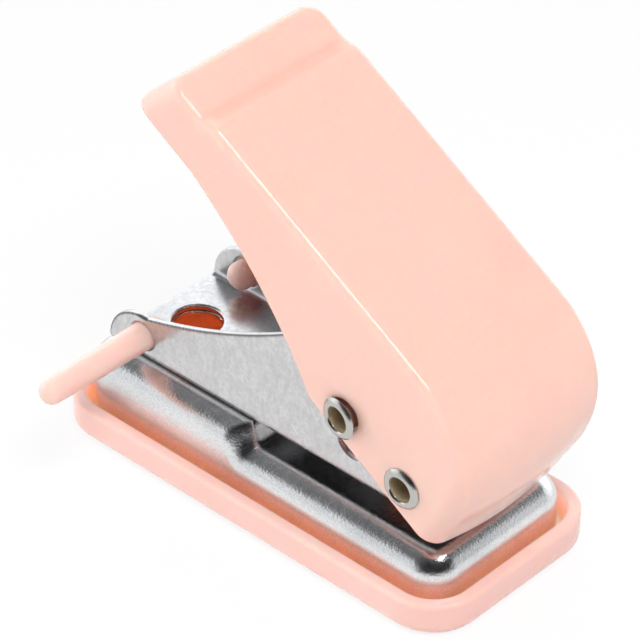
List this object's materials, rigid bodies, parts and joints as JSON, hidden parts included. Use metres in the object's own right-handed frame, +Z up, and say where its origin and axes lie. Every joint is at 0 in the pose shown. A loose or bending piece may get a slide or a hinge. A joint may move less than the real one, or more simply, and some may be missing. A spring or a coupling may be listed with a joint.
{
  "type": "single hole punch",
  "caption": "Hand-held single hole punch: a plastic lever handle hinged on a steel channel drives a spring-returned cutter through a paper slot into a pressed base with a chip tray.",
  "frame": {"origin": "on the table, under the middle of the chip tray", "axes": "+X towards the pivot end, +Z up, so -Y is the side nearest in the picture"},
  "size_m": [0.0891, 0.07, 0.077],
  "materials": {
    "pink_plastic": "smooth moulded plastic with a soft gloss",
    "bright_pan": "bright plated, pressed sheet",
    "steel_sheet": "bright rolled steel sheet",
    "nickel": "nickel plated",
    "tool_steel": "ground steel"
  },
  "bodies": {
    "base": {"base_pan": "bright_pan", "frame": "steel_sheet", "pivot_rivet": "nickel", "guide_bush": "nickel", "die_ring": "tool_steel", "base_rivets": "steel_sheet", "left_side_peg": "pink_plastic", "right_side_peg": "pink_plastic", "return_spring": "tool_steel"},
    "lever": {"handle": "pink_plastic", "drive_rivet": "nickel"},
    "punch": {"punch_pin": "tool_steel"},
    "tray": {"chip_tray": "pink_plastic"}
  },
  "joints": [
    {"name": "handle_swing", "type": "hinge", "parent": "base", "child": "lever", "pos_m": [0.0324, 0, 0.025], "axis": [0, -1, 0], "range_deg": [0, 31.2], "stiffness_Nm_per_rad": 0.1, "springref_deg": -17.19},
    {"name": "punch_slide", "type": "slide", "parent": "base", "child": "punch", "axis": [0, 0, -1], "range_m": [0, 0.0076], "deforming": ["return_spring"]},
    {"name": "tray_pull", "type": "slide", "parent": "base", "child": "tray", "axis": [0, 0, -1], "range_m": [0, 0.012]}
  ],
  "couplings": [
    {"joint": "punch_slide", "follows": "handle_swing", "m_per_rad": 0.013794}
  ]
}
